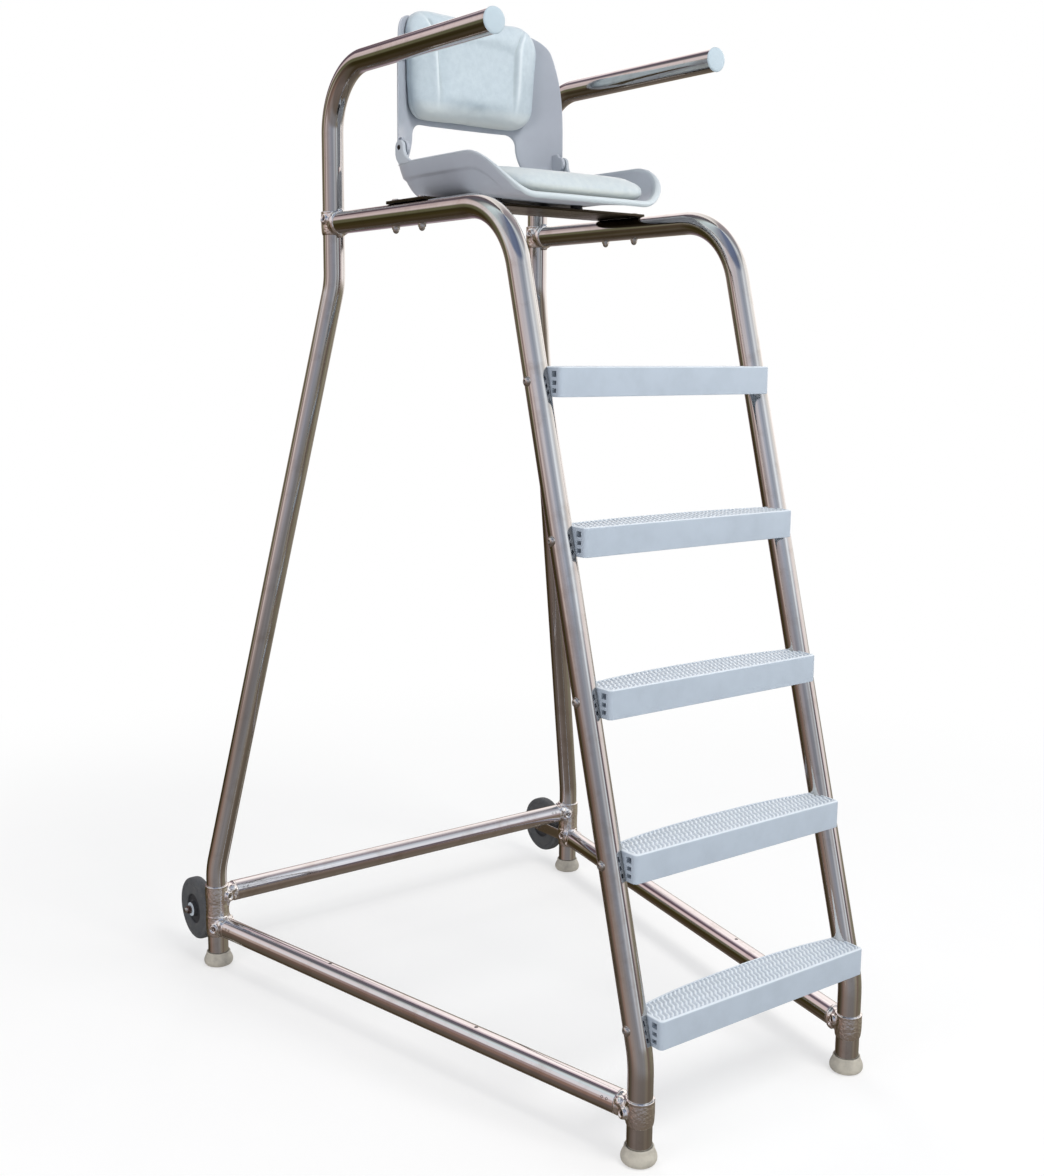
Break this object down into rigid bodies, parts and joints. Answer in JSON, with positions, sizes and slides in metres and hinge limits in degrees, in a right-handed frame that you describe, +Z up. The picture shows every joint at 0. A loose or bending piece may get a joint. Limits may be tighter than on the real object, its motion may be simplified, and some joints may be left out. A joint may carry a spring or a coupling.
{
  "type": "lifeguard chair",
  "caption": "Bent-tube lifeguard chair with ladder treads, a cushioned bucket seat whose back folds, arm rails and rear wheels for tilting and rolling.",
  "frame": {"origin": "on the floor, at the middle of the space the chair takes up, in line with its plane of symmetry", "axes": "+Z up; +Y from the climber towards the back of the seat; +X towards the climber's right"},
  "size_m": [1.1586, 1.469, 2.2041],
  "materials": {
    "stainless_tube": "bent stainless tube, satin from the mill, with long reflections",
    "polished_tube": "polished stainless tube",
    "cast_fitting": "polished stainless casting",
    "hardware": "stainless bolts, nuts, washers and flat bars",
    "plate_steel": "stainless sheet",
    "cap_plastic": "pale moulded plastic cap",
    "tread_plastic": "moulded plastic with a ribbed top",
    "foot_rubber": "ivory rubber",
    "wheel_rubber": "dark grey solid rubber",
    "spacer_rubber": "black rubber",
    "seat_shell": "moulded plastic, pale grey",
    "vinyl": "grained marine vinyl over foam"
  },
  "bodies": {
    "frame": {"left_front_leg_rail": "stainless_tube", "right_front_leg_rail": "stainless_tube", "left_rear_leg_arm": "stainless_tube", "right_rear_leg_arm": "stainless_tube", "left_rail_tee": "cast_fitting", "right_rail_tee": "cast_fitting", "left_arm_cap": "cap_plastic", "right_arm_cap": "cap_plastic", "step_1": "tread_plastic", "step_2": "tread_plastic", "step_3": "tread_plastic", "step_4": "tread_plastic", "step_5": "tread_plastic", "left_step_bolts": "hardware", "right_step_bolts": "hardware", "rear_cross_brace": "polished_tube", "left_side_brace": "polished_tube", "right_side_brace": "polished_tube", "left_front_tee": "cast_fitting", "right_front_tee": "cast_fitting", "left_rear_tee": "cast_fitting", "right_rear_tee": "cast_fitting", "left_cross_tee": "cast_fitting", "right_cross_tee": "cast_fitting", "front_left_foot": "foot_rubber", "front_right_foot": "foot_rubber", "rear_left_foot": "foot_rubber", "rear_right_foot": "foot_rubber", "left_wheel_bar": "hardware", "right_wheel_bar": "hardware", "left_axle": "hardware", "right_axle": "hardware", "left_axle_nut": "hardware", "right_axle_nut": "hardware", "seat_plate": "plate_steel", "plate_bolts": "hardware", "seat_spacers": "spacer_rubber", "seat_pan": "seat_shell", "seat_cushion": "vinyl", "hinge_bolts": "hardware"},
    "left_wheel": {"left_wheel": "wheel_rubber"},
    "right_wheel": {"right_wheel": "wheel_rubber"},
    "seat_back": {"back_shell": "seat_shell", "back_cushion": "vinyl"}
  },
  "joints": [
    {"name": "left_wheel_spin", "type": "hinge", "parent": "frame", "child": "left_wheel", "pos_m": [-0.542, 0.6585, 0.106], "axis": [1, 0, 0], "continuous": true},
    {"name": "right_wheel_spin", "type": "hinge", "parent": "frame", "child": "right_wheel", "pos_m": [0.542, 0.6585, 0.106], "axis": [1, 0, 0], "continuous": true},
    {"name": "back_fold", "type": "hinge", "parent": "frame", "child": "seat_back", "pos_m": [0, 0.20765, 1.90115], "axis": [1, 0, 0], "range_deg": [0, 95]}
  ]
}
